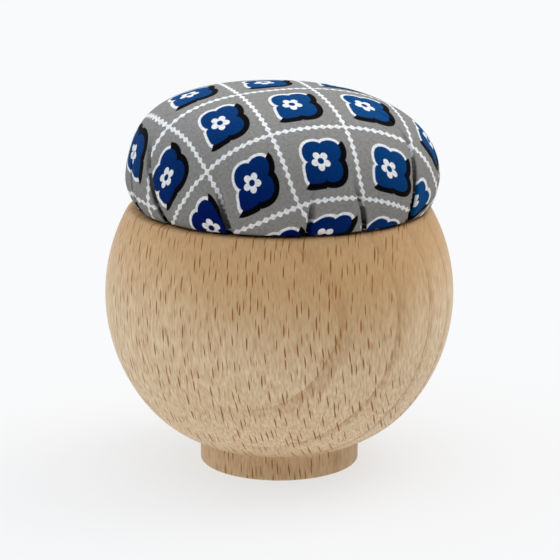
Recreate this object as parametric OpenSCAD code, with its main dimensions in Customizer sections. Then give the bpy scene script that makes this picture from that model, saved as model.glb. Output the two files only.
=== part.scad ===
// Pin cushion in a turned beech ball
//
// A stuffed cushion in a printed cotton cover push-fits into the recess of a ball turned from one
// piece of beech, which stands on a short round foot. Under the rim the cover runs on as a plug,
// passes below a card disc and is drawn up by a gathering thread. The cushion lifts straight out.
//
// Millimetres, +Z up. The origin is on the table, under the middle of the foot, and the front of
// the cushion faces -Y.

/* [Ball base] */
// Diameter of the ball
ball_d = 60; // [58:0.5:64]
// Height of the ball's centre above the table
ball_centre_h = 29.8; // [29.4:0.1:30.6]
// Height of the rim above the table
rim_h = 45; // [44:0.1:46]
// Radius of the rounding on the rim's outer and inner edge
rim_round = 1; // [0.6:0.1:1.2]
// Radius of the tighter curve that carries the ball into its foot
underside_r = 21; // [18:0.5:24]

/* [Foot] */
// Diameter of the foot
foot_d = 27.6; // [26:0.2:29]
// Height of the foot, up to where the ball begins
foot_h = 4.3; // [4:0.1:4.8]
// Radius of the eased edge that the foot stands on
foot_round = 0.4; // [0.2:0.1:0.8]

/* [Recess] */
// Diameter of the recess that holds the cushion
recess_d = 45; // [43:0.5:46]
// Depth of the recess below the rim
recess_depth = 20.5; // [18:0.5:23]

/* [Cushion] */
// Diameter of the cushion at its widest
cushion_d = 52.6; // [52:0.2:53.4]
// Height of the crown above the rim
crown_h = 20.7; // [18:0.1:24]
// Height of the widest place above the rim
bulge_h = 5.4; // [5:0.1:6]
// Fullness of the crown: 2 is an ellipse, more is boxier
crown_power = 2.5; // [2.2:0.05:3]
// How much fuller the crown is on the left than halfway round, seen from the front
left_power = 0.1; // [0:0.05:0.2]
// How far the widest place sits to the right of the base's axis
bulge_shift = 0.8; // [0:0.1:1]
// How far the crown leans back to the left
crown_lean = 2; // [0:0.1:2.4]
// Diameter where the cover turns under, just above the rim
lip_d = 50.8; // [50:0.1:51]
// How far a fold is drawn in at the lip
fold_depth = 0.9; // [0.5:0.1:1]
// Gap between the cushion and the wood beside it
seat_gap = 0.4; // [0.35:0.05:0.5]

/* [Inside the cushion] */
// Thickness of the cover, with the cloth that its folds take up
cover_t = 0.8; // [0.6:0.1:1]
// Diameter of the hole that the gathers leave underneath
gather_d = 17; // [14:0.5:22]
// Diameter of the card disc
card_d = 37; // [34:0.5:38]
// Thickness of the card disc
card_t = 1.5; // [1:0.1:2]
// Diameter of the gathering thread
thread_d = 0.8; // [0.6:0.1:0.9]
// Gap between pieces that lie on each other inside the cushion
lay_gap = 0.1; // [0.05:0.05:0.15]

/* [Hidden] */
$fn = 128;

// Angles of the cover's folds, counted to the right from the front
FOLDS = [-49, -20, 10, 34, 59, 84, 109, 134, 160, 185, 210, 236, 261, 286];
// Cloth between two folds, from one fold to the next: share of the way, share of the fold depth.
// Each panel comes out from under its left neighbour and rides up over its right one.
PANEL = [[0.03, -1], [0.2, -0.4], [0.5, 0.1], [0.8, 0.3], [0.97, 0.15]];
// Steps down the crown's curve, from near its top to the widest place
CROWN_STEPS = [78, 66, 50, 36, 23, 11, 0];

ball_r = ball_d / 2;
foot_r = foot_d / 2;
recess_r = recess_d / 2;
recess_z = rim_h - recess_depth;

// Where two of the turning's curves run into each other, the smaller one starts this much further in.
hair = 0.02;

// The underside's arc lies in the ball and touches it: its centre is on the ball's radius that
// leaves the centre at underside_a below the horizon, so that the arc passes the top of the foot.
underside_offset = ball_r - underside_r;
foot_top = [foot_r, foot_h - ball_centre_h];
foot_top_share = (pow(norm(foot_top), 2) + pow(underside_offset, 2) - pow(underside_r, 2))
    / (2 * underside_offset * norm(foot_top));
underside_a = atan2(-foot_top.y, foot_top.x) - acos(foot_top_share);
underside_centre = [underside_offset * cos(underside_a) - hair,
                    ball_centre_h - underside_offset * sin(underside_a)];
underside_top_z = ball_centre_h - ball_r * sin(underside_a);

// The rim's outer rounding lies in the ball and touches both the ball and the rim's flat top.
rim_round_z = rim_h - rim_round;
rim_round_x = sqrt(pow(ball_r - rim_round, 2) - pow(rim_round_z - ball_centre_h, 2)) - hair;
rim_zone_z = ball_centre_h + (rim_round_z - ball_centre_h) * ball_r / (ball_r - rim_round);

cushion_r = cushion_d / 2;
lip_r = lip_d / 2;
plug_r = recess_r - seat_gap;
crown_rise = crown_h - bulge_h;
crown_z = rim_h + crown_h;
bulge_z = rim_h + bulge_h;
lip_z = rim_h + seat_gap;
lip_round = 0.6;
neck_w = 0.6;
neck_drop = 0.9;
plug_round = 2.4;
// The cushion's underside clears the recess floor by the thread, its knot and a little air.
knot_d = 1.1 * thread_d + 0.2;
knot_air = 0.12;
bottom_z = recess_z + knot_d + 2 * knot_air;

card_z = bottom_z + cover_t + lay_gap;
filling_z = card_z + card_t + lay_gap;
thread_ring_r = gather_d / 2 + 1.2;

// A superellipse's quarter, from its top at 90 degrees to its widest place at 0: shares of both axes
function crown(a, power) = [pow(cos(a), 2 / power), pow(sin(a), 2 / power)];

// Corners round a ring of the cover: [angle, share of the fold depth]
function fold_after(i) = i + 1 < len(FOLDS) ? FOLDS[i + 1] : FOLDS[0] + 360;
COLUMNS = [
    for (i = [0 : len(FOLDS) - 1], p = PANEL)
        [FOLDS[i] + (fold_after(i) - FOLDS[i]) * p[0] - 90, p[1]]
];

// A ring on the crown: fuller on the left, leaning left towards the top, with folds that fade upwards
function crown_ring(step) = [
    for (c = COLUMNS)
        let (p = crown(step, crown_power - left_power * cos(c[0])),
             r = cushion_r * p[0] + 0.7 * pow(cos(step), 12) * fold_depth * c[1])
        [r * cos(c[0]) + bulge_shift - crown_lean * pow(p[1], 2), r * sin(c[0]), bulge_z + crown_rise * p[1]]
];

// A level ring below the crown, with a share of the fold depth and of the shift to the right
function level_ring(r, z, folds, shift) = [
    for (c = COLUMNS)
        let (out = folds * fold_depth * c[1])
        [(r + out) * cos(c[0]) + shift * bulge_shift, (r + out) * sin(c[0]), z]
];

// A level ring on the plug, where the folds only draw in and so stay clear of the recess
function plug_ring(r, z) = [
    for (c = COLUMNS)
        let (out = 0.5 * fold_depth * min(c[1], 0))
        [(r + out) * cos(c[0]), (r + out) * sin(c[0]), z]
];

COVER_RINGS = [
    for (step = CROWN_STEPS) crown_ring(step),
    level_ring((cushion_r + lip_r) / 2 + 0.3, (bulge_z + lip_z) / 2, 0.9, 1),
    level_ring(lip_r, lip_z + lip_round, 1, 1),
    level_ring(lip_r - lip_round, lip_z, 1, 1),
    plug_ring(plug_r + neck_w, lip_z),
    plug_ring(plug_r, rim_h - neck_drop),
    plug_ring(plug_r, bottom_z + plug_round),
    plug_ring(plug_r - 0.3 * plug_round, bottom_z + 0.3 * plug_round),
    plug_ring(plug_r - plug_round, bottom_z),
];

// A closed skin over rings of n corners each, with one point at the top and one underneath
module skin(top, rings, bottom) {
    n = len(rings[0]);
    last = len(rings) - 1;
    points = [top, for (r = rings, p = r) p, bottom];
    faces = [
        for (i = [0 : n - 1]) [0, 1 + (i + 1) % n, 1 + i],
        for (k = [0 : last - 1], i = [0 : n - 1], half = [0, 1])
            let (a = 1 + k * n + i, b = 1 + k * n + (i + 1) % n)
            half == 0 ? [a, b, b + n] : [a, b + n, a + n],
        for (i = [0 : n - 1]) [len(points) - 1, 1 + last * n + i, 1 + last * n + (i + 1) % n]
    ];
    polyhedron(points, faces);
}

// Half outline of the room inside the cover above a floor, drawn in by a gap: a plug with a crown
module inside_outline(gap, floor_z) {
    wall = cover_t + fold_depth / 2 + gap;
    r_crown = cushion_r - bulge_shift - wall;
    h_crown = crown_rise - wall;
    polygon([
        [0, floor_z],
        [card_d / 2 + 0.6, floor_z],
        [plug_r - wall, floor_z + plug_round],
        [plug_r - wall, lip_z + wall],
        for (a = [0 : 12 : 84])
            let (p = crown(a, crown_power - left_power))
            [r_crown * p[0], bulge_z + h_crown * p[1]],
        [0, bulge_z + h_crown],
    ]);
}

// Beech ball with its foot, turned in one piece, with the recess for the cushion
module turned_base() color("#c8a67c") difference() {
    union() {
        // the ball, between the underside and the rim's rounding
        intersection() {
            translate([0, 0, ball_centre_h]) sphere(ball_r);
            translate([0, 0, underside_top_z]) cylinder(r = ball_r, h = rim_zone_z - underside_top_z);
        }
        // the rim's flat top and its rounded outer edge
        translate([0, 0, ball_centre_h]) cylinder(r = rim_round_x, h = rim_h - ball_centre_h);
        rotate_extrude() intersection() {
            translate([rim_round_x, rim_round_z]) circle(rim_round);
            translate([rim_round_x - rim_round / 2, rim_zone_z]) square([2 * rim_round, rim_round]);
        }
        // the underside, which turns in more tightly than the ball
        rotate_extrude() intersection() {
            translate(underside_centre) circle(underside_r);
            translate([0, foot_h]) square([ball_r, underside_top_z - foot_h]);
        }
        // the foot, which runs on into the ball, and its eased edge
        translate([0, 0, foot_round]) cylinder(r = foot_r, h = recess_z - foot_round - 1);
        cylinder(r = foot_r - foot_round, h = foot_h);
        translate([0, 0, foot_round]) rotate_extrude()
            translate([foot_r - foot_round, 0]) circle(foot_round);
    }
    translate([0, 0, recess_z]) cylinder(r = recess_r, h = recess_depth + 1);
    // the recess's eased mouth
    rotate_extrude() difference() {
        translate([recess_r - 0.5, rim_round_z]) square([rim_round + 0.5, rim_round + 0.5]);
        translate([recess_r + rim_round, rim_round_z]) circle(rim_round);
    }
}

// Printed cotton: a round piece of cloth over the filling, gathered in folds below the card
module cushion_cover() color("#86847f") difference() {
    skin([bulge_shift - crown_lean, 0, crown_z], COVER_RINGS, [0, 0, bottom_z]);
    rotate_extrude() inside_outline(0, bottom_z + cover_t);
    translate([0, 0, bottom_z - 1]) cylinder(d = gather_d, h = cover_t + 2);
}

// Wool that fills the cover and grips the pins
module filling() color("#efe8d8")
    rotate_extrude() inside_outline(lay_gap, filling_z);

// Card that keeps the cushion's underside flat, and stops the pins
module card_disc() color("#a9a196")
    translate([0, 0, card_z]) cylinder(d = card_d, h = card_t);

// Thread that draws up the cover's edge under the card, with its knot
module gathering_thread() color("#e9e6de") translate([0, 0, bottom_z - knot_air - knot_d / 2]) {
    rotate_extrude($fn = 48) translate([thread_ring_r, 0]) circle(d = thread_d, $fn = 24);
    rotate(90) translate([thread_ring_r, 0, 0]) sphere(d = knot_d, $fn = 24);
}

turned_base();
cushion_cover();
filling();
card_disc();
gathering_thread();
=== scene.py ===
"""Pin cushion in a turned beech ball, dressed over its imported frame.

Every length is in metres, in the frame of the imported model: +Z up, the foot on the table at the
origin, and the front of the cushion towards -Y.
"""

import logging
import math
from dataclasses import astuple, dataclass
from enum import Enum
from functools import partial
from typing import Any, Callable, Optional, Sequence, Union

import bpy
import numpy as np
from mathutils import Euler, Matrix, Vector


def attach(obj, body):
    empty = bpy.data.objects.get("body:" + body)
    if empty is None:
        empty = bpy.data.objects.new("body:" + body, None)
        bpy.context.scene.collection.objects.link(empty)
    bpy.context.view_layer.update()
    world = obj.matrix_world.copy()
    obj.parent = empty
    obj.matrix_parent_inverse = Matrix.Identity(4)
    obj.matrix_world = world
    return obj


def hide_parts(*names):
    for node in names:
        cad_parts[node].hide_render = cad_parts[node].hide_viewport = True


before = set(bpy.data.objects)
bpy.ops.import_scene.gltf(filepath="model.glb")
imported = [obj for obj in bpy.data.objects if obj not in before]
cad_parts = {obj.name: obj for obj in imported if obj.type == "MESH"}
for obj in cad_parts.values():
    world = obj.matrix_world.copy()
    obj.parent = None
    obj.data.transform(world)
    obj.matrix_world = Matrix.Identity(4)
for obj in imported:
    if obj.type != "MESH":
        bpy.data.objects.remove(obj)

LOG = logging.getLogger("pin_cushion")
MM = 0.001
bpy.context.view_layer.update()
# The option that a node's mode sets, by kind of node.
MODES = {"Math": "operation", "VectorMath": "operation", "MapRange": "interpolation_type", "Mix": "data_type"}

Node = bpy.types.Node
Material = bpy.types.Material
Piece = bpy.types.Object
Array = np.ndarray
Pair = tuple[float, float]
Triple = tuple[float, float, float]
Add = Callable[..., Node]
Input = Union[None, float, Sequence[float], Node, bpy.types.NodeSocket]


class Body(str, Enum):
    """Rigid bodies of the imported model."""

    BASE = "base"
    CUSHION = "cushion"


class Slot(str, Enum):
    """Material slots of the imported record."""

    BEECH = "beech"
    COTTON = "printed_cotton"
    WOOL = "wool"
    THREAD = "thread"


class Lap(float, Enum):
    """Which panel of the cover lies on top at a pleat."""

    LEFT = 1.0
    RIGHT = -1.0


def linear(colour: str) -> tuple[float, ...]:
    """Turn an sRGB colour into the linear values that shaders take.

    Args:
        colour: Hex colour, such as "#c8a67c".

    Returns:
        Red, green, blue and an alpha of 1.
    """
    channels = np.array([int(colour[i:i + 2], 16) for i in (1, 3, 5)]) / 255
    curved = ((channels + 0.055) / 1.055) ** 2.4
    return (*np.where(channels <= 0.04045, channels / 12.92, curved).tolist(), 1.0)


def add_node(tree: bpy.types.NodeTree, kind: str, *inputs: Input, named: Optional[dict[str, Input]] = None,
             **settings: Any) -> Node:
    """Add one shader node with its settings, and feed its inputs.

    Args:
        tree: Node tree that takes the node.
        kind: Node type after its first words, and its mode after a point, such as "Math.ADD" for a
            ShaderNodeMath that adds.
        *inputs: What feeds each open input in turn: a constant, a socket, or a node for the first of its
            open outputs.
        named: What feeds the inputs of these names.
        **settings: The node's other options, such as use_clamp.

    Returns:
        The new node.
    """
    kind, _, mode = kind.partition(".")
    node = tree.nodes.new("ShaderNode" + kind)
    if mode:
        settings[MODES[kind]] = mode
    for option, value in settings.items():
        setattr(node, option, value)
    pairs = list(zip([socket for socket in node.inputs if socket.enabled], inputs))
    pairs += [(node.inputs[name], value) for name, value in (named or {}).items()]
    for socket, value in pairs:
        if isinstance(value, Node):
            value = next(output for output in value.outputs if output.enabled)
        if isinstance(value, bpy.types.NodeSocket):
            tree.links.new(value, socket)
        else:
            socket.default_value = value
    return node


def blank_material(name: str) -> tuple[Material, Add]:
    """Start a material with no nodes.

    Args:
        name: Name of the material.

    Returns:
        The material, and the function that adds its nodes.
    """
    material = bpy.data.materials.new(name)
    material.use_nodes = True
    material.node_tree.nodes.clear()
    return material, partial(add_node, material.node_tree)


@dataclass(frozen=True)
class OiledBeech:
    """Beech, turned, sanded and oiled.

    It gives the eye a warm pale ground, short brown ray flecks that stand along the grain, growth rings
    that sweep round the right of the front, and a satin gloss. The rays are sheets that fan out from the
    pith behind the ball, so the flecks are dark spindles at the front, faint at the sides, where the rays
    lie flat in the surface, and lines on the end grain. Real fibres are about 0.02 mm thick, and are
    drawn coarser so that they show. Streak and gloss are each a factor and an offset.
    """

    pale: str = "#ebd3ae"
    deep: str = "#cba473"
    late_wood: str = "#b88f62"
    fleck: str = "#985c00"
    fleck_w: float = 0.29 * MM
    fleck_l: float = 3.1 * MM
    fleck_gap: Pair = (0.8 * MM, 3.1 * MM)
    fleck_depth: float = 0.97
    fleck_least: float = 0.2
    fleck_fade: float = 0.5
    speck_size: float = 0.5
    speck_depth: float = 0.22
    flat_ray: Pair = (0.74, 0.9)
    flat_fleck: float = 0.1
    ring_gap: float = 6.6 * MM
    ring_at: float = 136.8 * MM
    ring_waver: float = 1.2 * MM
    late_from: float = 0.7
    late_depth: float = 0.4
    clear_over: float = 40 * MM
    clear_range: Pair = (0.3, 0.8)
    least_clear: float = 0.15
    waver: float = 0.7 * MM
    waver_l: float = 11.11 * MM
    fibre: Triple = (0.2941 * MM, 2.381 * MM, 0.6667 * MM)
    streak: Pair = (1.5, -0.43)
    cloud: Triple = (16.67 * MM, 33.33 * MM, 16.67 * MM)
    detail: float = 2.0
    pith_distance: float = 110 * MM
    grain_turn: Triple = (-3.0, -2.5, -15.0)
    # Painted shade and light: the deep tone right of the front near the top is partly painted shade, the
    # paling downwards is painted light from below, and the deepening at the foot is painted shade under the
    # ball.
    tone_and_shade_at: float = 19 * MM
    tone_and_shade_range: Pair = (-20 * MM, 26 * MM)
    tone_and_shade_cloud: float = 20 * MM
    pale_aside: float = 0.65
    pale_right: float = 2.6
    painted_light_down: float = 2.3
    foot_shade_range: Pair = (-22 * MM, -27 * MM)
    foot_shade_depth: float = 0.5
    gloss: Pair = (0.2, 0.42)
    relief: float = 0.04 * MM
    fibre_relief: float = 0.5

    def turn(self) -> Euler:
        """Give the turn from the piece's frame to the wood's."""
        return Euler([math.radians(angle) for angle in self.grain_turn])

    def wood_frame(self, add: Add, centre: Vector) -> Node:
        """Measure the wood from its pith.

        Args:
            add: Adds a node.
            centre: Centre of the ball.

        Returns:
            The distances round the pith, along the grain, and away from the pith.
        """
        turn = self.turn()
        front = Vector((0, -1, 0))
        front.rotate(turn)
        place = add("TexCoord").outputs["Object"]
        local = add("Mapping", place, centre - front * self.pith_distance, turn, vector_type="TEXTURE")
        across, inward, along = add("SeparateXYZ", local).outputs
        level = add("CombineXYZ", across, inward)
        away = add("VectorMath.LENGTH", level)
        outward = add("Math.MULTIPLY", inward, -1.0)
        turned = add("Math.ARCTAN2", across, outward)
        around = add("Math.MULTIPLY", turned, self.pith_distance)
        return add("CombineXYZ", around, along, away)

    def flecks(self, add: Add, wood: Node, size: float, depth: float) -> Node:
        """Scatter spindle flecks, one in each cell of a stretched Voronoi pattern.

        A fleck lies where its half width, as a random share, is more than the distance from its middle
        line plus the square of the place along it.

        Args:
            add: Adds a node.
            wood: The place in the wood.
            size: Share of the full fleck size.
            depth: Share of the fleck's colour in the middle of a fleck.

        Returns:
            The depth in the middle of a fleck, fading to 0 at its edge.
        """
        wide, tall = self.fleck_gap
        counts = (1 / (wide * size), 1 / (tall * size), 0.0)
        half_flecks = (2 * wide / self.fleck_w, 2 * tall / self.fleck_l, 0.0)
        cell = add("VectorMath.MULTIPLY", wood, counts)
        cells = add("TexVoronoi", cell, 1.0, voronoi_dimensions="2D")
        apart = add("VectorMath.SUBTRACT", cell, cells.outputs["Position"])
        spread = add("VectorMath.MULTIPLY", apart, half_flecks)
        across, along, _ = add("SeparateXYZ", spread).outputs
        aside = add("Math.ABSOLUTE", across)
        distance = add("Math.MULTIPLY_ADD", along, along, aside)
        chance = add("SeparateXYZ", cells.outputs["Color"])
        reach = add("MapRange", chance, 0.0, 1.0, self.fleck_least, 1.0)
        inside = add("Math.SUBTRACT", reach, distance)
        return add("MapRange.SMOOTHSTEP", inside, 0.0, self.fleck_fade, 0.0, depth)

    def marks(self, add: Add, wood: Node) -> Node:
        """Join full flecks and small specks, and fade both where the rays lie flat in the surface.

        Args:
            add: Adds a node.
            wood: The place in the wood.

        Returns:
            The share of the flecks' colour.
        """
        flecks = self.flecks(add, wood, 1.0, self.fleck_depth)
        specks = self.flecks(add, wood, self.speck_size, self.speck_depth)
        both = add("Math.MAXIMUM", flecks, specks)
        ray_side = Vector((1, 0, 0))
        ray_side.rotate(self.turn())
        leaning = add("VectorMath.DOT_PRODUCT", add("TexCoord").outputs["Normal"], ray_side)
        lying = add("Math.ABSOLUTE", leaning)
        shown = add("MapRange.SMOOTHSTEP", lying, *self.flat_ray, 1.0, self.flat_fleck)
        return add("Math.MULTIPLY", both, shown)

    def rings(self, add: Add, wood: Node, waver: Node, cloud: Node) -> Node:
        """Find the late wood of the growth rings.

        It rises as a smooth step of the last part of each year's growth, outwards from the pith. It is
        clear to the right and faint to the left, with a cloudy change between.

        Args:
            add: Adds a node.
            wood: The place in the wood.
            waver: The rings' waver.
            cloud: The cloudiness.

        Returns:
            The share of late wood.
        """
        around, _, away = add("SeparateXYZ", wood).outputs
        wavy = add("Math.MULTIPLY_ADD", waver, self.ring_waver, away)
        years = add("Math.MULTIPLY_ADD", wavy, 1 / self.ring_gap, -self.ring_at / self.ring_gap)
        season = add("Math.FRACT", years)
        late = add("MapRange.SMOOTHSTEP", season, self.late_from, 1.0, 0.0, self.late_depth)
        rightward = add("Math.MULTIPLY_ADD", around, 1 / self.clear_over, cloud)
        clear = add("MapRange.SMOOTHSTEP", rightward, *self.clear_range, self.least_clear, 1.0)
        return add("Math.MULTIPLY", late, clear)

    def deep_tone_and_shade(self, add: Add, wood: Node, cloud: Node) -> Node:
        """Find how deep the wood's colour is.

        It is deepest right of the front, near the top, which is partly the wood's own tone and partly painted
        shade.
        It pales downwards, as painted light from below, slowly to the left and quickly to the right, with
        cloudy edges, and is a little deeper again at the foot, as painted shade under the ball.

        Args:
            add: Adds a node.
            wood: The place in the wood.
            cloud: The cloudiness.

        Returns:
            0 for pale wood to 1 for deep.
        """
        around, along, _ = add("SeparateXYZ", wood).outputs
        rightward = add("Math.SUBTRACT", around, self.tone_and_shade_at)
        leftward = add("Math.MULTIPLY", rightward, -1.0)
        hastened = add("Math.MULTIPLY", rightward, self.pale_right)
        aside = add("Math.MAXIMUM", leftward, hastened)
        parts = add("CombineXYZ", aside, along, cloud)
        weights = (-self.pale_aside, self.painted_light_down, self.tone_and_shade_cloud)
        level = add("VectorMath.DOT_PRODUCT", parts, weights)
        deep = add("MapRange.SMOOTHSTEP", level, *self.tone_and_shade_range)
        foot = add("MapRange.SMOOTHSTEP", along, *self.foot_shade_range, 0.0, self.foot_shade_depth)
        return add("Math.MAXIMUM", deep, foot)

    def material(self, centre: Vector) -> Material:
        """Make the material, with its colours laid one over another.

        Args:
            centre: Centre of the ball.

        Returns:
            The material.
        """
        material, add = blank_material("oiled_beech")
        straight = self.wood_frame(add, centre)
        waver = add("TexNoise", straight, 1 / self.waver_l)
        wood = add("VectorMath.MULTIPLY_ADD", waver, (self.waver, 0.0, 0.0), straight)
        fine = add("VectorMath.DIVIDE", wood, self.fibre)
        fibre = add("TexNoise", fine, 1.0, self.detail)
        broad = add("VectorMath.DIVIDE", wood, self.cloud)
        cloud = add("TexNoise", broad, 1.0, self.detail)
        marks = self.marks(add, wood)
        streak = add("Math.MULTIPLY_ADD", fibre, *self.streak)
        late = add("Math.ADD", self.rings(add, wood, waver, cloud), streak)

        # Painted shade and light, mixed with the wood's own tone: deeper right of the front near the top and
        # at the foot, paler downwards.
        deep_tone_and_shade = self.deep_tone_and_shade(add, wood, cloud)
        early_wood_and_shade = add("Mix.RGBA", deep_tone_and_shade, linear(self.pale), linear(self.deep))
        grain = add("Mix.RGBA", late, early_wood_and_shade, linear(self.late_wood))
        colour = add("Mix.RGBA", marks, grain, linear(self.fleck))
        gloss = add("Math.MULTIPLY_ADD", fibre, *self.gloss)
        raised = add("Math.MULTIPLY", fibre, self.fibre_relief)
        height = add("Math.SUBTRACT", raised, marks)
        relief = add("Bump", named={"Height": height, "Distance": self.relief, "Strength": 1.0})
        surface = add("BsdfPrincipled", named={"Base Color": colour, "Roughness": gloss, "Normal": relief,
                                               "Specular IOR Level": 0.28})
        add("OutputMaterial", surface)
        return material


@dataclass(frozen=True)
class PrintedCotton:
    """Plain-weave dress cotton with a screen-printed trellis of blossoms.

    It gives the eye a grey ground with beaded white lines, deep blue four-lobed blossoms that a white edge
    and a black edge lift off the ground, and the soft, slightly furry sheen of cotton. The blue is lighter
    and greener towards the back and the right, which is painted light, as from above and behind on the right.
    The threads of the real cloth are about 0.25 mm apart, and are drawn coarser so that they show. The cell
    is in metres, and the sizes of what is printed in it are shares of a cell. Worn and relief_parts weigh the
    weave, the mottle and 1, and rough is a factor and an offset.
    """

    ground: str = "#918f8b"
    blue: str = "#00155a"
    # Painted light: the lighter, greener blue that the blossoms turn to towards the back and the right.
    painted_light_blue: str = "#004781"
    white: str = "#f2f3f2"
    black: str = "#06060a"
    cell: Pair = (13.3 * MM, 14.6 * MM)
    half_cell: Triple = (0.5, 0.5, 0.0)
    turn: Pair = (15.4, 20.2)
    middle: Pair = (1.526, 0.689)
    # Painted light: the way and the offset of the blue's turn towards the lighter blue.
    painted_light_way: Pair = (0.25, -0.35)
    painted_light_at: float = 0.95
    sway: float = 0.083
    sway_length: float = 42 * MM
    sway_start: float = 22.0
    thread_gap: float = 0.4156 * MM
    mottle_l: float = 0.5115 * MM
    mottle_detail: float = 3.0
    worn: Triple = (0.2, 0.8, -0.375)
    ink_edge: float = 0.012
    lean: float = 0.13
    blossom_at: float = 0.03
    lobe_at: Pair = (0.108, 0.128)
    lobe_r: float = 0.155
    lobe_power: float = 2.2
    corner_power: float = 3.4
    white_edge: float = 0.038
    black_edge: float = 0.08
    black_from: float = 0.025
    beads: float = 10.0
    bead_w: float = 0.025
    thread_w: float = 0.012
    petals: int = 5
    petal_r: float = 0.068
    petal_l: float = 0.064
    petal_turn: float = 0.35
    petal_power: float = 0.7
    eye_r: float = 0.042
    rough: Pair = (0.1, 0.75)
    relief: float = 0.07 * MM
    relief_parts: Triple = (0.7, 0.6, 0.0)

    def lattice(self, add: Add, cut_d: float) -> Node:
        """Find the place in the trellis, counted in cells.

        The trellis is a turned square one. The cloth was drawn on by hand, so its rows are a little
        further apart than its columns, and sway as a cosine of the distance from front to back.

        Args:
            add: Adds a node.
            cut_d: Width of the cloth's UV square.

        Returns:
            The cells to the right, and the cells down.
        """
        across, down = (math.radians(angle) for angle in self.turn)
        wide, tall = self.cell
        cloth = add("UVMap", uv_map="cloth")
        half = (-cut_d / 2, -cut_d / 2, 0.0)
        place = add("VectorMath.MULTIPLY_ADD", cloth, (cut_d, cut_d, 0.0), half)
        back = add("SeparateXYZ", place).outputs["Y"]
        phase = add("Math.MULTIPLY_ADD", back, 2 * math.pi / self.sway_length, -math.radians(self.sway_start))
        wave = add("Math.COSINE", phase)
        column = (math.cos(across) / wide, math.sin(across) / wide, 0.0)
        row = (math.sin(down) / tall, -math.cos(down) / tall, 0.0)
        right = add("VectorMath.DOT_PRODUCT", place, column)
        below = add("VectorMath.DOT_PRODUCT", place, row)
        swayed = add("Math.MULTIPLY_ADD", wave, self.sway, below)
        cells = add("CombineXYZ", right, swayed)
        return add("VectorMath.ADD", cells, (*self.middle, 0.0))

    def inked(self, add: Add, outside: Input, margin: float = 0.0) -> Node:
        """Print a shape: 1 up to a margin outside it, in cells, and 0 beyond, with the edge of a print."""
        edge = self.ink_edge / 2
        return add("MapRange.SMOOTHSTEP", outside, margin + edge, margin - edge)

    def trellis(self, add: Add, cells: Node) -> Node:
        """Print lines of beads along the sides of the cells.

        A line's half width is a thread plus a bead, which is a raised cosine of the place along it.

        Args:
            add: Adds a node.
            cells: The place in the trellis.

        Returns:
            The lines' mask.
        """
        moved = add("VectorMath.ADD", cells, self.half_cell)
        share = add("VectorMath.FRACTION", moved)
        aside = add("VectorMath.SUBTRACT", share, self.half_cell)
        distance = add("VectorMath.ABSOLUTE", aside)
        right, below, _ = add("SeparateXYZ", cells).outputs
        along = add("CombineXYZ", below, right)
        turns = self.beads * 2 * math.pi
        phase = add("VectorMath.MULTIPLY", along, (turns, turns, 0.0))
        wave = add("VectorMath.COSINE", phase)
        half_bead = self.bead_w / 2
        width = self.thread_w + half_bead
        half_width = add("VectorMath.MULTIPLY_ADD", wave, (half_bead,) * 3, (width,) * 3)
        outside = add("VectorMath.SUBTRACT", distance, half_width)
        column, row, _ = add("SeparateXYZ", outside).outputs
        nearest = add("Math.MINIMUM", column, row)
        return self.inked(add, nearest)

    def blossom(self, add: Add, leaning: Node) -> Node:
        """Four lobes that run into each other, round but for a squarer one at the lower left.

        A lobe is a superellipse: the powers of the two distances from its middle add up to the power
        of its radius.

        Args:
            add: Adds a node.
            leaning: The place in the cell from the blossom's middle.

        Returns:
            The distance outside the shape.
        """
        right, below, _ = add("SeparateXYZ", leaning).outputs
        above = add("Math.MULTIPLY", below, -1.0)
        corner = add("Math.MULTIPLY", self.inked(add, right), self.inked(add, above))
        power = add("Math.MULTIPLY_ADD", corner, self.corner_power - self.lobe_power, self.lobe_power)
        quarter = add("VectorMath.ABSOLUTE", leaning)
        from_lobe = add("VectorMath.SUBTRACT", quarter, (*self.lobe_at, 0.0))
        apart = add("VectorMath.ABSOLUTE", from_lobe)
        across, down, _ = add("SeparateXYZ", apart).outputs
        wide = add("Math.POWER", across, power)
        tall = add("Math.POWER", down, power)
        total = add("Math.ADD", wide, tall)
        root = add("Math.DIVIDE", 1.0, power)
        radius = add("Math.POWER", total, root)
        return add("Math.SUBTRACT", radius, self.lobe_r)

    def rosette(self, add: Add, cell: Node) -> Node:
        """Round petals: the radius is a middle part plus a power of a cosine's size, one to a petal.

        Args:
            add: Adds a node.
            cell: The place in the cell from its middle.

        Returns:
            The distance outside the petals.
        """
        right, below, _ = add("SeparateXYZ", cell).outputs
        turned = add("Math.ARCTAN2", right, below)
        phase = add("Math.MULTIPLY_ADD", turned, self.petals / 2, self.petal_turn)
        wave = add("Math.COSINE", phase)
        size = add("Math.ABSOLUTE", wave)
        petal = add("Math.POWER", size, self.petal_power)
        reach = add("Math.MULTIPLY_ADD", petal, self.petal_l, self.petal_r)
        radius = add("VectorMath.LENGTH", cell)
        return add("Math.SUBTRACT", radius, reach)

    def printed(self, add: Add, cells: Node) -> Node:
        """Lay the inks over the ground, one after another.

        Args:
            add: Adds a node.
            cells: The place in the trellis.

        Returns:
            The colour.
        """
        share = add("VectorMath.FRACTION", cells)
        cell = add("VectorMath.SUBTRACT", share, self.half_cell)
        right, below, _ = add("SeparateXYZ", cell).outputs
        sheared = add("Math.MULTIPLY_ADD", below, self.lean, right)
        shifted = add("Math.SUBTRACT", sheared, self.blossom_at)
        leaning = add("CombineXYZ", shifted, below)
        outside = self.blossom(add, leaning)
        upper_left = add("VectorMath.DOT_PRODUCT", leaning, (-1.0, -1.0, 0.0))
        lower_right = self.inked(add, upper_left, -self.black_from)
        shade = add("Math.MULTIPLY", self.inked(add, outside, self.black_edge), lower_right)
        eye = add("VectorMath.LENGTH", cell)
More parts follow.
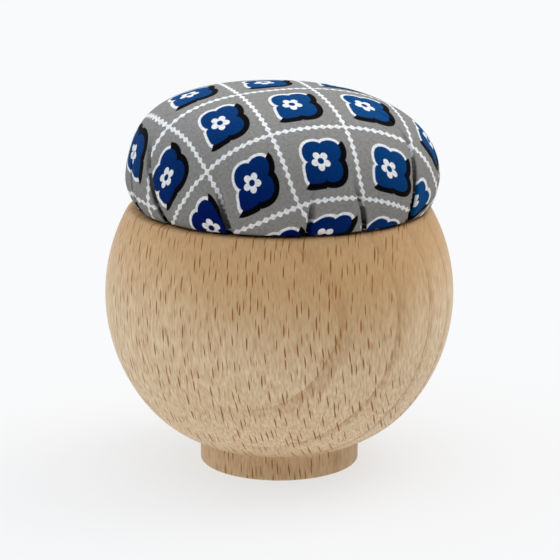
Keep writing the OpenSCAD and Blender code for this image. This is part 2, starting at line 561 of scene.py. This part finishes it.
        # Painted light: the blue turns lighter and greener towards the back and the right, as if lit from
        # there.
        across_cut = add("VectorMath.DOT_PRODUCT", cells, (*self.painted_light_way, 0.0))
        thin = add("Math.ADD", across_cut, self.painted_light_at, use_clamp=True)
        blue = add("Mix.RGBA", thin, linear(self.blue), linear(self.painted_light_blue))
        white = linear(self.white)
        inks = [
            (self.trellis(add, cells), white),
            (self.inked(add, outside, self.white_edge), white),
            (shade, linear(self.black)),
            (self.inked(add, outside), blue),
            (self.inked(add, self.rosette(add, cell)), white),
            (self.inked(add, eye, self.eye_r), blue),
        ]
        colour = linear(self.ground)
        for mask, ink in inks:
            colour = add("Mix.RGBA", mask, colour, ink)
        return colour

    def material(self, cut_d: float) -> Material:
        """Make the material: the print, worn by the weave and a mottle, which also give the relief.

        Args:
            cut_d: Width of the cloth's UV square.

        Returns:
            The material.
        """
        material, add = blank_material("printed_cotton")
        cells = self.lattice(add, cut_d)
        turns = 2 * math.pi * self.cell[0] / self.thread_gap
        phase = add("VectorMath.MULTIPLY", cells, (turns, turns, 0.0))
        wave = add("VectorMath.SINE", phase)
        warp, weft, _ = add("SeparateXYZ", wave).outputs
        crossed = add("Math.MULTIPLY", warp, weft)
        weave = add("Math.MULTIPLY_ADD", crossed, 0.5, 0.5)
        mottle = add("TexNoise", cells, self.cell[0] / self.mottle_l, self.mottle_detail)
        grain = add("CombineXYZ", weave, mottle, 1.0)
        worn = add("VectorMath.DOT_PRODUCT", grain, self.worn)
        colour = add("Mix.RGBA", worn, self.printed(add, cells), linear(self.black))
        rough = add("Math.MULTIPLY_ADD", weave, *self.rough)
        height = add("VectorMath.DOT_PRODUCT", grain, self.relief_parts)
        relief = add("Bump", named={"Height": height, "Distance": self.relief, "Strength": 1.0})
        surface = add("BsdfPrincipled", named={"Base Color": colour, "Roughness": rough, "Normal": relief,
                                               "Specular IOR Level": 0.02, "Sheen Weight": 0.02,
                                               "Sheen Roughness": 0.45})
        add("OutputMaterial", surface)
        return material


@dataclass(frozen=True)
class FibreFinish:
    """Finish of two colours, the ground's and the fibres', which the fibres mix and raise.

    Single fibres are about 0.03 mm thick, too fine to show, so they are drawn in clumps of the grain's
    size.
    """

    name: str
    ground: str
    fibre: str
    grain: float
    relief: float
    rough: float
    detail: float = 2.0
    sheen: float = 0.0
    share: Pair = (0.0, 1.0)
    blend: str = "LINEAR"

    def fibres(self, add: Add) -> Node:
        """Give how thick the fibres lie, as a noise of their grain."""
        return add("TexNoise", add("TexCoord").outputs["Object"], 1 / self.grain, self.detail)

    def material(self) -> Material:
        """Make the material.

        Returns:
            The material.
        """
        material, add = blank_material(self.name)
        fibres = self.fibres(add)
        share = add("MapRange." + self.blend, fibres, *self.share)
        colour = add("Mix.RGBA", share, linear(self.ground), linear(self.fibre))
        relief = add("Bump", named={"Height": fibres, "Distance": self.relief, "Strength": 1.0})
        surface = add("BsdfPrincipled", named={"Base Color": colour, "Roughness": self.rough,
                                               "Normal": relief, "Sheen Weight": self.sheen})
        add("OutputMaterial", surface)
        return material


@dataclass(frozen=True)
class TwistedThread(FibreFinish):
    """Finish of a thread, whose fibres lie in slanting ridges, one to a grain."""

    def fibres(self, add: Add) -> Node:
        """Give the ridges, as a sine along a slanting direction.

        Args:
            add: Adds a node.

        Returns:
            0 between ridges to 1 on them.
        """
        turns = 2 * math.pi / self.grain
        phase = add("VectorMath.DOT_PRODUCT", add("TexCoord").outputs["Object"], (turns,) * 3)
        wave = add("Math.SINE", phase)
        return add("Math.MULTIPLY_ADD", wave, 0.5, 0.5)


# Wool, carded and packed by hand, gives the eye an off-white, matt, felted tangle.
CARDED_WOOL = FibreFinish("carded_wool", ground="#cfc4ac", fibre="#efe8d8", grain=1.1111 * MM,
                          relief=0.3 * MM, rough=0.95, detail=5.0, sheen=0.4)
# Greyboard, pressed from waste paper, gives the eye dark fibres in a matt, brown-grey ground.
GREYBOARD = FibreFinish("pressed_greyboard", ground="#a29a8e", fibre="#6f675c", grain=0.625 * MM,
                        relief=0.05 * MM, rough=0.9, detail=4.0, share=(0.5, 0.75), blend="SMOOTHSTEP")
# Cotton thread, twisted and waxed, gives the eye off-white, slanting ridges with a soft shine.
WAXED_THREAD = TwistedThread("waxed_cotton_thread", ground="#b8b0a0", fibre="#ece8dc", grain=0.6667 * MM,
                             relief=0.1 * MM, rough=0.6)


def arc(centre: Pair, radius: float, start: float, end: float, count: int) -> Array:
    """Points along a circle's arc, as centre plus radius times cosine and sine.

    Args:
        centre: Centre, as radius from the axis and height.
        radius: The arc's radius.
        start: First angle in degrees, where 0 is away from the axis and 90 is up.
        end: Last angle.
        count: Number of points.

    Returns:
        The points, one to a row.
    """
    angles = np.radians(np.linspace(start, end, count))
    return np.stack([centre[0] + radius * np.cos(angles), centre[1] + radius * np.sin(angles)], -1)


def line(start: Pair, end: Pair, count: int) -> Array:
    """Evenly spaced points from start to end, one to a row."""
    return np.linspace(start, end, count)


def smooth_step(share: Array) -> Array:
    """Rise from 0 to 1 with level ends, as 3 t^2 - 2 t^3 of the share cut to 0 and 1."""
    t = np.clip(share, 0, 1)
    return t * t * (3 - 2 * t)


def ring_surface(name: str, rings: Array, ends: Sequence[Optional[Sequence[float]]],
                 flat: Optional[Array] = None) -> Piece:
    """Skin a stack of closed rings, from the inside or top outwards and down.

    Args:
        name: Name of the piece.
        rings: Corners, as rings by corners by 3.
        ends: Point that closes the first and the last ring, or None for an open edge.
        flat: UV of each corner, as rings by corners by 2, stored under the name cloth.

    Returns:
        The piece, with its faces outwards and smooth.
    """
    rows, columns, _ = rings.shape
    index = np.arange(rows * columns).reshape(rows, columns)
    after = np.roll(index, -1, axis=1)
    quads = np.stack([index[:-1], index[1:], after[1:], after[:-1]], -1).reshape(-1, 4)
    points = [rings.reshape(-1, 3)]
    triangles = []
    count = rows * columns
    for end, ring in zip(ends, ((index[0], after[0]), (after[-1], index[-1]))):
        if end is not None:
            triangles.append(np.stack([np.full(columns, count), *ring], -1))
            points.append(np.array([end], float))
            count += 1
    fans = np.concatenate(triangles) if triangles else np.zeros((0, 3), int)
    corners = np.concatenate([quads.ravel(), fans.ravel()])
    sizes = np.concatenate([np.full(len(quads), 4), np.full(len(fans), 3)])

    mesh = bpy.data.meshes.new(name)
    mesh.vertices.add(count)
    mesh.vertices.foreach_set("co", np.concatenate(points).ravel())
    mesh.loops.add(len(corners))
    mesh.loops.foreach_set("vertex_index", corners)
    mesh.polygons.add(len(sizes))
    mesh.polygons.foreach_set("loop_start", np.cumsum(sizes) - sizes)
    mesh.polygons.foreach_set("use_smooth", np.ones(len(sizes), bool))
    mesh.update(calc_edges=True)
    if flat is not None:
        middle = np.full((count - rows * columns, 2), 0.5)
        corner_uv = np.concatenate([flat.reshape(-1, 2), middle])[corners]
        mesh.uv_layers.new(name="cloth").data.foreach_set("uv", corner_uv.ravel())
    mesh.validate()
    piece = bpy.data.objects.new(name, mesh)
    bpy.context.scene.collection.objects.link(piece)
    return piece


def revolve(profile: Array, sides: int) -> Array:
    """Turn a profile about the Z axis.

    Args:
        profile: Radius and height of each ring.
        sides: Corners of a ring.

    Returns:
        The rings, as rings by corners by 3.
    """
    turn = np.linspace(0, 2 * np.pi, sides, endpoint=False)
    radius, height = profile[:, :1], profile[:, 1:]
    return np.stack([radius * np.cos(turn), radius * np.sin(turn), height + 0 * turn], -1)


@dataclass
class TurnedBase:
    """Beech ball with its foot and recess, turned in one piece."""

    ball_r: float = 30 * MM
    centre_z: float = 29.8 * MM
    rim_z: float = 45 * MM
    rim_round: float = 1 * MM
    underside_r: float = 21 * MM
    foot_r: float = 13.8 * MM
    foot_z: float = 4.3 * MM
    foot_round: float = 0.4 * MM
    recess_r: float = 22.5 * MM
    recess_z: float = 24.5 * MM
    recess_round: float = 0.8 * MM
    joint_round: float = 0.25 * MM
    joint_turn: float = 1.0
    joint_start: float = 100.0
    hub_r: float = 1 * MM
    sides: int = 256

    def profile(self) -> Array:
        """Follow the wood from the recess's floor over the rim and down to the foot.

        The rim's rounding and the underside's arc both lie in the ball and touch it. The underside's
        centre is on the ball's radius at an angle that brings its arc through the top of the foot. The
        arc stops a small turn short of that, at the rounding of the inner corner.

        Returns:
            Radius and height of each ring, without the two points on the axis.
        """
        offset = self.ball_r - self.underside_r
        foot = complex(self.foot_r, self.foot_z - self.centre_z)
        share = (abs(foot) ** 2 + offset ** 2 - self.underside_r ** 2) / (2 * offset * abs(foot))
        low = math.degrees(math.atan2(foot.imag, foot.real) + math.acos(share))
        under = (offset * math.cos(math.radians(low)), self.centre_z + offset * math.sin(math.radians(low)))
        foot_angle = math.degrees(math.atan2(self.foot_z - under[1], self.foot_r - under[0]))
        rim_z = self.rim_z - self.rim_round
        rim_r = math.sqrt((self.ball_r - self.rim_round) ** 2 - (rim_z - self.centre_z) ** 2)
        high = math.degrees(math.atan2(rim_z - self.centre_z, rim_r))
        mouth = self.recess_r + self.rim_round
        corner = (self.recess_r - self.recess_round, self.recess_z + self.recess_round)
        joint = (self.foot_r + self.joint_round, self.foot_z - self.joint_round)
        edge_r = self.foot_r - self.foot_round
        return np.concatenate([
            line((self.hub_r, self.recess_z), (corner[0], self.recess_z), 24),
            arc(corner, self.recess_round, -90, 0, 8)[1:],
            line((self.recess_r, corner[1]), (self.recess_r, rim_z), 16)[1:-1],
            arc((mouth, rim_z), self.rim_round, 180, 90, 10),
            arc((rim_r, rim_z), self.rim_round, 90, high, 8),
            arc((0, self.centre_z), self.ball_r, high, low, 84)[1:],
            arc(under, self.underside_r, low, foot_angle + self.joint_turn, 20)[1:],
            arc(joint, self.joint_round, self.joint_start, 180, 5),
            line((self.foot_r, joint[1]), (self.foot_r, self.foot_round), 9)[1:],
            arc((edge_r, self.foot_round), self.foot_round, 0, -90, 7)[1:],
            line((edge_r, 0), (self.hub_r, 0), 13)[1:],
        ])

    def build(self) -> Piece:
        """Turn the profile into the piece that stands for the CAD base.

        Returns:
            The piece.
        """
        rings = revolve(self.profile(), self.sides)
        piece = ring_surface("beech_ball", rings, [(0, 0, self.recess_z), (0, 0, 0)])
        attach(piece, Body.BASE.value)
        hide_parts("turned_base")
        return piece

    def dress(self, piece: Piece) -> None:
        """Give the piece its wood."""
        piece.data.materials.append(OiledBeech().material(Vector((0, 0, self.centre_z))))


@dataclass(frozen=True)
class Pleat:
    """One knife fold of the cover.

    The angle is in degrees to the right of the front, at the rim. The rise is how far above the rim
    the fold shows. By that height it has moved over by the slant and the bow, in degrees: the slant in
    step with the height, the bow with its square. The depth is the cloth that it takes up, as a share
    of the average fold. The gap is how far it stands open above the rim, and the dip is the distance
    in which the lower panel rises again. The puff is how far the panel on its left swells out. The lap
    names the upper panel.
    """

    angle: float
    rise: float
    slant: float = 0.0
    bow: float = 0.0
    depth: float = 1.0
    gap: float = 0.8 * MM
    dip: float = 1.5 * MM
    puff: float = 0.3 * MM
    lap: Lap = Lap.LEFT


@dataclass
class CushionCover:
    """Printed cotton: a round cut, drawn over the filling, pleated at the rim and gathered below."""

    widest_r: float = 26.3 * MM
    widest_z: float = 50.4 * MM
    crown_rise: float = 15.3 * MM
    crown_power: float = 2.5
    crown_spacing: float = 1.15
    left_power: float = 0.1
    bulge_shift: float = 0.8 * MM
    crown_lean: float = 2 * MM
    rim_z: float = 45 * MM
    lip_r: float = 25.1 * MM
    lip_z: float = 45.4 * MM
    lip_round: float = 0.6 * MM
    lip_lean: float = 20.0
    plug_r: float = 22.1 * MM
    neck_round: float = 0.8 * MM
    bottom_z: float = 25.82 * MM
    bottom_round: float = 2 * MM
    gather_r: float = 8.5 * MM
    layer: float = 0.45 * MM
    crest: float = 0.3 * MM
    crest_power: float = 6.0
    pucker: float = 0.1 * MM
    fold_round: float = 0.15 * MM
    closing: float = 1.2
    fading: float = 1.5
    tuck_most: float = 0.45
    tuck_below: float = 0.6
    least_share: float = 0.001
    puff_z: float = 49.5 * MM
    puff_h: float = 4.5 * MM
    lip_firm: float = 0.25
    ruffle: float = 0.5 * MM
    waves: int = 3
    valley_power: float = 0.6
    slip: float = 2.8 * MM
    slip_from: float = 0.6
    slip_z: float = 58 * MM
    panel_columns: int = 20
    fold_columns: int = 36
    pleats: tuple[Pleat, ...] = (
        Pleat(-51, 15 * MM, -14, 0, 1.4, 3.0 * MM, 1.35 * MM, 0.5 * MM),
        Pleat(-21, 9 * MM, -4, 0, 1.0, 1.6 * MM, 0.9 * MM),
        Pleat(8, 7.5 * MM, 2, 0, 0.9, 1.6 * MM, 0.8 * MM),
        Pleat(32.5, 9 * MM, -6, 0, 0.5, 3.0 * MM, 0.8 * MM, lap=Lap.RIGHT),
        Pleat(56.5, 17 * MM, -10, 21, 2.4, 3.5 * MM, 1.0 * MM, lap=Lap.RIGHT),
        Pleat(80, 11 * MM, 3),
        Pleat(107, 9 * MM, -2),
        Pleat(134, 12 * MM, 4, 0, 1.2, 1.4 * MM, 2.0 * MM),
        Pleat(160, 8 * MM, -3, 0, 0.8),
        Pleat(185, 11 * MM, 3),
        Pleat(210, 9 * MM, -2, 0, 0.9),
        Pleat(236, 13 * MM, 4, 0, 1.3, 1.5 * MM, 2.0 * MM),
        Pleat(261, 8 * MM, -2, 0, 0.7),
        Pleat(286, 10 * MM, -5, 0, 1.0, 0.9 * MM, 1.5 * MM, 0.75 * MM),
    )
    cut_d: float = 0.0

    def outline(self) -> tuple[Array, Array]:
        """Follow the cover from its crown to the gathers underneath.

        The crown is a superellipse, and the side below it falls in as the square of the depth. Each part
        is drawn finely, then cut into as many even rings as stand beside it.

        Returns:
            Radius, height and distance from the crown of each ring, and the crown's angle there, which
            is 90 degrees at the top and 0 from the widest place down.
        """
        crown = np.radians(90 - 90 * np.linspace(0, 1, 241) ** self.crown_spacing)
        power = 2 / self.crown_power
        top = np.stack([self.widest_r * np.cos(crown).clip(0) ** power,
                        self.widest_z + self.crown_rise * np.sin(crown) ** power], -1)
        lean = math.radians(self.lip_lean)
        lip = (self.lip_r - self.lip_round * math.cos(lean), self.lip_z + self.lip_round)
        side_z = lip[1] - self.lip_round * math.sin(lean)
        fall = np.linspace(0, 1, 61)[1:]
        side = np.stack([self.widest_r - (self.widest_r - self.lip_r) * fall ** 2,
                         self.widest_z - (self.widest_z - side_z) * fall], -1)
        neck = (self.plug_r + self.neck_round, self.lip_z - self.neck_round)
        corner = (self.plug_r - self.bottom_round, self.bottom_z + self.bottom_round)
        parts = [
            (top, 58),
            (side, 16),
            (arc(lip, self.lip_round, -self.lip_lean, -90, 13)[1:], 6),
            (line((lip[0], self.lip_z), (neck[0], self.lip_z), 13)[1:], 5),
            (arc(neck, self.neck_round, 90, 180, 13)[1:], 5),
            (line((self.plug_r, neck[1]), (self.plug_r, corner[1]), 21)[1:], 10),
            (arc(corner, self.bottom_round, 0, -90, 13)[1:], 5),
            (line((corner[0], self.bottom_z), (self.gather_r, self.bottom_z), 21)[1:], 12),
        ]
        points = np.concatenate([part for part, _ in parts])
        angle = np.concatenate([crown, np.zeros(len(points) - len(crown))])
        way = np.concatenate([[0], np.cumsum(np.linalg.norm(np.diff(points, axis=0), axis=1))])
        ends = np.cumsum([len(part) for part, _ in parts]) - 1
        starts = np.concatenate([[0], ends[:-1]])
        stops = np.concatenate([
            np.linspace(way[start], way[end], count + 1)[1:]
            for start, end, (_, count) in zip(starts, ends, parts)
        ])
        pick = [np.interp(stops, way, column) for column in (*points.T, angle)]
        return np.stack([pick[0], pick[1], stops], -1), pick[2]

    def folds(self, rings: Array) -> tuple[Array, Array, Array]:
        """Lay the cloth round the cushion in knife pleats.

        The cloth is cut round, so at a distance s from its middle it is s / r times as long as the
        ring of radius r that it lies on, and the pleats share out what is spare. The cloth of one
        pleat's cell runs on to the fold, back under itself, and on again, so the way round is made of
        four straight runs with softened corners. The layers lie one cloth apart. The lower panel rises
        from under the upper one, and each panel swells a little.

        Args:
            rings: Radius, height and distance from the cloth's middle of each ring.

        Returns:
            Angle round the cushion, angle on the flat cloth and height above the plain outline, each as
            rings by columns.
        """
        radius, height, way = (column[:, None, None] for column in rings.T)
        table = np.array([astuple(pleat) for pleat in self.pleats], float).T[:, None, :, None]
        angle, rise, slant, bow, depth, gap, dip, puff, lap = table
        left_over = lap > 0
        above = np.maximum(height - self.rim_z, 0)
        climb = np.clip(above / rise, 0, 1)
        fold = np.radians(angle + slant * climb + bow * climb ** 2)
        # Panels meet half way between two folds, and the last one meets the first a full turn on.
        right = (fold + np.roll(fold, -1, 1)) / 2
        right[:, -1] += np.pi
        left = np.roll(right, 1, 1)
        left[:, 0] -= 2 * np.pi

        shown = smooth_step(self.closing * (1 - above / rise))
        dent = smooth_step(1 - above / (self.fading * rise))
        mouth = smooth_step((radius - self.plug_r) / (self.lip_r - self.plug_r))
        spare = 2 * np.pi / len(self.pleats) * (way - radius) * shown * depth / depth.mean()
        ease = (way - spare.sum(1, keepdims=True) / (2 * np.pi)) / radius
        before = ease * radius * (fold - left) + spare / 2
        after = ease * radius * (right - fold) + spare / 2
        # The cloth's own angle agrees with the cushion's where the second and the third pleat meet.
        end = np.cumsum((before + after) / way, 1)
        end = end - end[:, 1:2] + right[:, 1:2]
        start = end - (before + after) / way
        middle = start + before / way

        q = np.concatenate([
            np.linspace(0, 0.25, self.panel_columns // 2, endpoint=False),
            np.linspace(0.25, 0.75, self.fold_columns, endpoint=False),
            np.linspace(0.75, 1, self.panel_columns // 2, endpoint=False),
        ])[None, None, :]
        soft = self.fold_round / (before + after)
        first = 0.5 - spare / before / 4
        last = 0.5 + spare / after / 4
        below = smooth_step((self.bottom_z + self.bottom_round - height) / self.bottom_round)
        upper = np.where(left_over, fold - left, right - fold)
        tuck = lap * np.minimum(spare / (4 * radius * upper), self.tuck_most + self.tuck_below * below)
        back = tuck / np.maximum(0.5 - first, self.least_share)
        on = tuck / np.maximum(last - 0.5, self.least_share)

        def bend(at: Array) -> Array:
            """Soft corner at a place: 0 before it and the distance from it after."""
            return soft * np.logaddexp(0, (q - at) / soft)

        def step(at: Array) -> Array:
            """Soft step from 0 to 1 at a place."""
            return (1 + np.tanh((q - at) / (2 * soft))) / 2

        run = (q * 0.5 / first - (0.5 / first + back) * bend(first) + (back + on) * bend(0.5)
               - (on - 0.5 / (1 - last)) * bend(last))
        around = np.where(run < 0.5, left + (fold - left) * 2 * run, fold + (right - fold) * (2 * run - 1))
        on_cloth = np.where(q < 0.5, start + (middle - start) * 2 * q, middle + (end - middle) * (2 * q - 1))

        past = q > last
        panel = np.clip(run + np.where(past, -0.5, 0.5), 0, 1)
        thin = self.layer * dent
        lower = thin + gap * shown * mouth
        puckers = self.pucker * np.sin(2 * np.pi * self.waves * panel)
        swell = np.where(q < 0.5, puff, np.roll(puff, -1, 1)) + puckers
        swell = swell * np.sin(np.pi * panel) * np.exp(-((height - self.puff_z) / self.puff_h) ** 2) * mouth
        on_upper = np.where(left_over, np.where(past, 0, 1 - step(first)), np.where(q < first, 0, step(last)))
        to_fold = np.clip(lap * (2 * panel - 1), 0, 1)
        ridge = self.crest * dent * mouth * to_fold ** self.crest_power * on_upper
        from_fold = np.where(left_over, panel * (right - fold), (1 - panel) * (fold - left))
        valley = (thin + lower) * np.clip(1 - from_fold * 2 * self.lip_r / dip, 0, 1) ** self.valley_power
        layers = np.where(left_over, thin * step(first) + lower * step(0.5),
                          thin * (1 - step(last)) + lower * (1 - step(0.5)))
        sunk = np.where(np.where(left_over, past, q < first), valley, layers)
        ruffle = self.ruffle * below * (1 - np.cos(2 * np.pi * self.waves * q)) / 2
        level = swell + ridge - sunk - ruffle
        shape = (len(rings), level.shape[1] * level.shape[2])
        grids = (around, on_cloth, level)
        return tuple(np.broadcast_to(grid, level.shape).reshape(shape) for grid in grids)

    def build(self) -> Piece:
        """Make the pleated cover as a surface over its rings and the columns of its pleats.

        On the left the cloth was drawn down further than elsewhere, so there the print lies lower by the
        slip, times soft steps of the direction's part to the left and of the depth below the crown.

        Returns:
            The piece, which stands for the CAD cover.
        """
        rings, crown = self.outline()
        around, on_cloth, level = self.folds(rings)
        around, on_cloth = around - np.pi / 2, on_cloth - np.pi / 2
        radius, height, way = (column[:, None] for column in rings.T)
        crown = crown[:, None]
        power = 2 / (self.crown_power - self.left_power * np.cos(around))
        on_crown = crown > 0
        up = np.sin(crown) ** power
        reach = np.where(on_crown, self.widest_r * np.cos(crown).clip(0) ** power, radius)
        tall = np.where(on_crown, self.widest_z + self.crown_rise * up, height)
        seat = smooth_step((reach - self.plug_r) / (self.lip_r - self.plug_r))
        shift = np.where(on_crown, self.bulge_shift - self.crown_lean * up ** 2, self.bulge_shift * seat)
        along = np.gradient(rings[:, :2], rings[:, 2], axis=0)
        along /= np.linalg.norm(along, axis=1, keepdims=True)
        firm = self.lip_firm + (1 - self.lip_firm) * smooth_step((height - self.lip_z) / self.puff_h)
        out, lift = -along[:, 1:] * level, along[:, :1] * level * firm
        points = np.stack([(reach + out) * np.cos(around) + shift, (reach + out) * np.sin(around),
                           tall + lift], -1)
        top = (self.bulge_shift - self.crown_lean, 0, self.widest_z + self.crown_rise)
        to_left = smooth_step((-np.cos(on_cloth) - self.slip_from) / (1 - self.slip_from))
        drawn = way - self.slip * to_left * smooth_step((top[2] - height) / (top[2] - self.slip_z))
        self.cut_d = 2 * float(way[-1, 0])
        flat = drawn[..., None] * np.stack([np.cos(on_cloth), np.sin(on_cloth)], -1) / self.cut_d + 0.5
        piece = ring_surface("printed_cotton_cover", points, [top, None], flat)
        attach(piece, Body.CUSHION.value)
        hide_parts("cushion_cover")
        return piece

    def dress(self, piece: Piece) -> None:
        """Args:
            piece: The built cover.
        """
        piece.data.materials.append(PrintedCotton().material(self.cut_d))


@dataclass
class WoolFilling:
    """Wool wadding inside the cover: a crowned lump on a plug, with soft hollows."""

    widest_r: float = 22 * MM
    widest_z: float = 50.4 * MM
    crown_rise: float = 13.6 * MM
    crown_power: float = 2.4
    crown_from: float = 88.0
    plug_r: float = 19.8 * MM
    waist_z: float = 46.5 * MM
    bottom_z: float = 28.45 * MM
    bottom_round: float = 2 * MM
    hub_r: float = 1 * MM
    lump: float = 0.25 * MM
    lumps_round: tuple[int, int] = (5, 3)
    lump_turn: Pair = (400.0, 500.0)
    sides: int = 128

    def build(self) -> Piece:
        """Turn the profile and press it in and out by sines of the angle and the height.

        Returns:
            The piece, which stands for the CAD filling.
        """
        crown = np.radians(np.linspace(self.crown_from, 0, 40))
        power = 2 / self.crown_power
        top = np.stack([self.widest_r * np.cos(crown) ** power,
                        self.widest_z + self.crown_rise * np.sin(crown) ** power], -1)
        corner = (self.plug_r - self.bottom_round, self.bottom_z + self.bottom_round)
        profile = np.concatenate([
            top,
            line((self.widest_r, self.widest_z), (self.plug_r, self.waist_z), 8)[1:],
            line((self.plug_r, self.waist_z), (self.plug_r, corner[1]), 20)[1:],
            arc(corner, self.bottom_round, 0, -90, 8)[1:],
            line((corner[0], self.bottom_z), (self.hub_r, self.bottom_z), 13)[1:],
        ])
        rings = revolve(profile, self.sides)
        turn = np.linspace(0, 2 * np.pi, self.sides, endpoint=False)
        waves = [np.sin(count * turn + rate * profile[:, 1:])
                 for count, rate in zip(self.lumps_round, self.lump_turn)]
        rings[..., :2] *= 1 - self.lump / self.plug_r * (1 + waves[0] * waves[1])[..., None]
        ends = [(0, 0, self.widest_z + self.crown_rise), (0, 0, self.bottom_z)]
        piece = ring_surface("wool_filling", rings, ends)
        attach(piece, Body.CUSHION.value)
        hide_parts("filling")
        return piece

    def dress(self, piece: Piece) -> None:
        """Args:
            piece: The built filling.
        """
        piece.data.materials.append(CARDED_WOOL.material())


@dataclass
class GatheringThread:
    """Running stitches round the gathers underneath, drawn tight and knotted."""

    ring_r: float = 9.7 * MM
    ring_z: float = 25.3 * MM
    thread_r: float = 0.3 * MM
    knot_r: float = 0.54 * MM
    knot_l: float = 0.45 * MM
    dip: float = 0.3 * MM
    stitches: int = 28
    steps: int = 672
    corners: int = 10

    def build(self) -> Piece:
        """Sweep a round section along a ring that rises and falls as a sine, once a stitch.

        The section swells at the back as a bell curve of the way round, which makes the knot.

        Returns:
            The piece, which stands for the CAD thread.
        """
        turn = np.linspace(0, 2 * np.pi, self.steps, endpoint=False)[None, :, None]
        section = np.linspace(0, 2 * np.pi, self.corners + 1)[:, None, None]
        from_knot = self.ring_r * (turn - np.pi / 2) / self.knot_l
        thick = self.thread_r + (self.knot_r - self.thread_r) * np.exp(-from_knot ** 2)
        radius = self.ring_r + thick * np.cos(section)
        height = self.ring_z + self.dip * np.sin(self.stitches * turn) + thick * np.sin(section)
        rings = np.concatenate([radius * np.cos(turn), radius * np.sin(turn), height], -1)
        piece = ring_surface("gathering_stitches", rings, [None, None])
        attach(piece, Body.CUSHION.value)
        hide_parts("gathering_thread")
        return piece

    def dress(self, piece: Piece) -> None:
        """Give the piece its thread."""
        piece.data.materials.append(WAXED_THREAD.material())


@dataclass
class Studio:
    """Pale floor, soft light from all round and the camera at the photograph's angle.

    The floor is a light table, which glows a little and so keeps its shadows pale.
    """

    floor_r: float = 4.0
    floor_sides: int = 64
    floor_colour: str = "#7c7c7c"
    floor_glow: float = 0.68
    glow_colour: str = "#ffffff"
    sky_colour: str = "#f2f7ff"
    sky: float = 0.1
    sky_left: float = 0.62
    sky_top: float = 2.1
    sky_power: float = 3.0
    sky_seen: float = 0.95
    sky_back: float = 0.45
    key: float = 1.2
    key_colour: str = "#fffaf3"
    key_spread: float = 45.0
    key_from: Triple = (0.58, 0.27, 0.77)
    image_px: float = 560.0
    focal_px: float = 2313.7
    aim_px: Pair = (279.3, 291.8)
    aim_z: float = 29.77 * MM
    distance: float = 400 * MM
    view_range: Pair = (10 * MM, 20.0)
    elevation: float = 14.4
    sensor: float = 36.0

    def camera(self) -> None:
        """Place the camera so that the ball's centre falls on its pixel of the photograph."""
        data = bpy.data.cameras.new("photo_camera")
        data.sensor_width = self.sensor
        data.lens = self.sensor * self.focal_px / self.image_px
        data.shift_x = 0.5 - self.aim_px[0] / self.image_px
        data.shift_y = self.aim_px[1] / self.image_px - 0.5
        data.clip_start, data.clip_end = self.view_range
        camera = bpy.data.objects.new("photo_camera", data)
        tilt = math.radians(self.elevation)
        back = Vector((0, -math.cos(tilt), math.sin(tilt)))
        camera.location = Vector((0, 0, self.aim_z)) + back * self.distance
        camera.rotation_euler = (-back).to_track_quat("-Z", "Y").to_euler()
        bpy.context.scene.collection.objects.link(camera)
        bpy.context.scene.camera = camera

    def floor(self) -> None:
        """Lay a wide pale disc under the object."""
        ring = revolve(np.array([[self.floor_r, 0.0]]), self.floor_sides)
        piece = ring_surface("studio_floor", ring, [(0, 0, 0), None])
        material, add = blank_material("lit_acrylic_table")
        surface = add("BsdfPrincipled", named={
            "Base Color": linear(self.floor_colour), "Roughness": 0.9,
            "Specular IOR Level": 0.0, "Emission Color": linear(self.glow_colour),
            "Emission Strength": self.floor_glow})
        add("OutputMaterial", surface)
        piece.data.materials.append(material)

    def light(self) -> None:
        """Light the scene with a white sky and a soft key from the right.

        The sky is brightest overhead, as a power of the direction's height, and fills from the left and
        the back in proportion to the direction's part that way. The camera itself sees it as an even
        white.
        """
        world = bpy.data.worlds.new("white_studio")
        world.use_nodes = True
        world.node_tree.nodes.clear()
        add = partial(add_node, world.node_tree)
        direction = add("TexCoord").outputs["Generated"]
        ways = add("VectorMath.MULTIPLY", direction, (-self.sky_left, self.sky_back, 1.0))
        facing = add("VectorMath.MAXIMUM", ways, (0.0, 0.0, 0.0))
        left, back, up = add("SeparateXYZ", facing).outputs
        overhead = add("Math.POWER", up, self.sky_power)
        sides = add("Math.ADD", left, back)
        above = add("Math.MULTIPLY_ADD", overhead, self.sky_top, self.sky)
        lit = add("Math.ADD", sides, above)
        seen = add("LightPath").outputs["Is Camera Ray"]
        strength = add("Mix", seen, lit, self.sky_seen)
        background = add("Background", linear(self.sky_colour), strength)
        add("OutputWorld", background)
        bpy.context.scene.world = world
        key = bpy.data.lights.new("key_softbox", "SUN")
        key.energy = self.key
        key.color = linear(self.key_colour)[:3]
        key.angle = math.radians(self.key_spread)
        lamp = bpy.data.objects.new("key_softbox", key)
        lamp.rotation_euler = Vector(self.key_from).to_track_quat("Z", "Y").to_euler()
        bpy.context.scene.collection.objects.link(lamp)

    def build(self) -> None:
        """Set up camera, floor and light, with plain colour management."""
        self.camera()
        self.floor()
        self.light()
        bpy.context.scene.view_settings.view_transform = "Standard"


def main() -> None:
    """Build and dress the pieces in order and report them."""
    logging.basicConfig(level=logging.INFO, format="%(name)s: %(message)s")
    Studio().build()
    for assembly in (TurnedBase(), CushionCover(), WoolFilling(), GatheringThread()):
        piece = assembly.build()
        assembly.dress(piece)
        LOG.info("%s has %d faces", piece.name, len(piece.data.polygons))
    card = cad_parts["card_disc"]
    card.data.materials.clear()
    card.data.materials.append(GREYBOARD.material())


if __name__ == "__main__":
    main()
